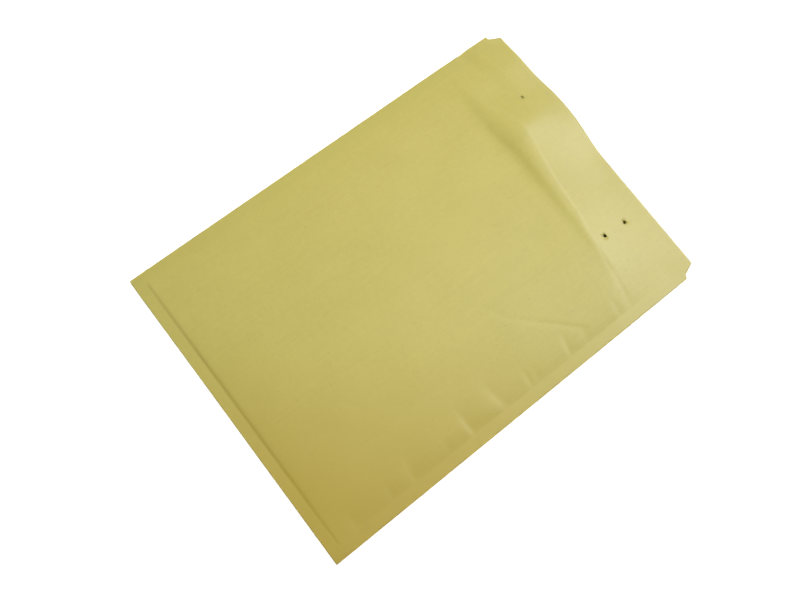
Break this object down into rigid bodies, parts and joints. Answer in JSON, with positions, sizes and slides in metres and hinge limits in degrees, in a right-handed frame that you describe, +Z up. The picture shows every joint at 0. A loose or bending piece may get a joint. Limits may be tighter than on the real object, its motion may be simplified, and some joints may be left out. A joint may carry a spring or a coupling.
{
  "type": "padded envelope",
  "caption": "Kraft paper mailer lined with air-bubble film, lying flat with its closing flap folded under and not stuck down.",
  "frame": {"origin": "centre of the envelope's outline, on the surface that it lies on", "axes": "+Y from the sealed bottom edge to the fold of the flap, +Z up out of the front panel, +X across"},
  "size_m": [0.25, 0.352, 0.0114],
  "materials": {
    "kraft_front": "uncoated yellow-brown kraft, slightly polished",
    "kraft_back": "uncoated yellow-brown kraft, slightly polished",
    "film_front": "clear polythene film with sealed air bubbles",
    "film_back": "clear polythene film with sealed air bubbles",
    "glue": "tacky cream hot-melt band",
    "liner_paper": "white silicone-coated release paper"
  },
  "bodies": {
    "root": {"front_sheet": "kraft_front", "back_sheet": "kraft_back", "front_lining": "film_front", "back_lining": "film_back", "adhesive_strip": "glue", "release_liner": "liner_paper"}
  },
  "joints": []
}
